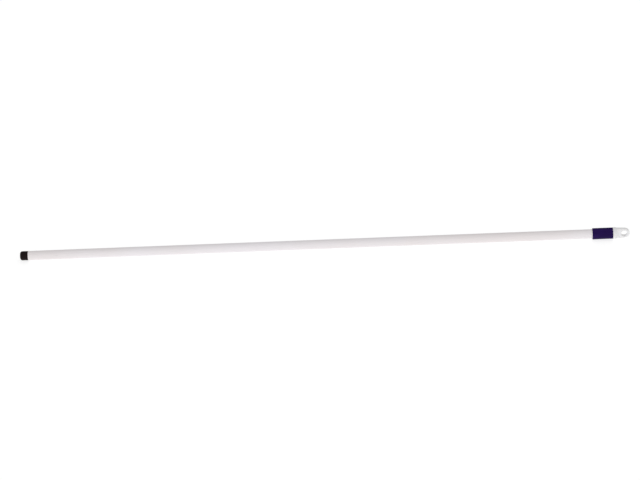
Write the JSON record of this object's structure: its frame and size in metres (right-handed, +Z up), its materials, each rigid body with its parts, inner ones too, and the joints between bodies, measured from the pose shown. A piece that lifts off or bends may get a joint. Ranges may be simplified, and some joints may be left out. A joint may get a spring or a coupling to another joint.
{
  "type": "white cane",
  "caption": "Long straight white telescopic cane with a short flush black tip, a dark navy guide collar, and a white end cap with a hanging eye; the inner section slides out and twists to lock.",
  "frame": {"origin": "on the surface that the cane rests on, under the middle of its length, with the cane pushed fully in", "axes": "+X along the pole from the tip to the hanging eye, +Z up, +Y along the hanging eye's hole"},
  "size_m": [1.44, 0.0274, 0.0275],
  "materials": {
    "white_coat": "aluminium tube with a smooth white powder coat",
    "black_tip": "matte black nylon",
    "navy_collar": "matte dark navy moulded plastic",
    "white_cap": "satin white moulded plastic",
    "natural_nylon": "unpigmented nylon",
    "grey_nylon": "grey glass-filled nylon",
    "plain_aluminium": "satin anodised",
    "steel": "zinc-plated steel",
    "black_rubber": "moulded rubber"
  },
  "bodies": {
    "outer": {"outer_tube": "white_coat", "tip": "black_tip", "tip_insert": "natural_nylon", "collar": "navy_collar", "guide_bush": "natural_nylon"},
    "carriage": {"lock_cage": "grey_nylon", "drag_ring": "black_rubber", "jaw_band": "black_rubber"},
    "inner": {"inner_tube": "plain_aluminium", "hanger_cap": "white_cap", "lock_plug": "natural_nylon", "lock_pin": "steel", "spindle": "steel", "thrust_washer": "steel", "cage_clip": "steel", "end_washer": "steel", "end_screw": "steel"},
    "cone": {"lock_cone": "grey_nylon"},
    "shoe_upper": {"jaw_upper": "natural_nylon"},
    "shoe_lower": {"jaw_lower": "natural_nylon"}
  },
  "joints": [
    {"name": "extend", "type": "slide", "parent": "outer", "child": "carriage", "axis": [1, 0, 0], "range_m": [0, 0.3]},
    {"name": "twist", "type": "hinge", "parent": "carriage", "child": "inner", "pos_m": [0.35, 0, 0.01375], "axis": [1, 0, 0], "range_deg": [0, 240]},
    {"name": "cone_travel", "type": "slide", "parent": "carriage", "child": "cone", "axis": [-1, 0, 0], "range_m": [0, 0.002]},
    {"name": "shoe_upper_spread", "type": "slide", "parent": "carriage", "child": "shoe_upper", "axis": [0, 0, -1], "range_m": [0, 0.0005]},
    {"name": "shoe_lower_spread", "type": "slide", "parent": "carriage", "child": "shoe_lower", "axis": [0, 0, 1], "range_m": [0, 0.0005]}
  ],
  "couplings": [
    {"joint": "cone_travel", "follows": "twist", "m_per_rad": 0.00047746},
    {"joint": "shoe_upper_spread", "follows": "twist", "m_per_rad": 0.00011937},
    {"joint": "shoe_lower_spread", "follows": "twist", "m_per_rad": 0.00011937}
  ]
}
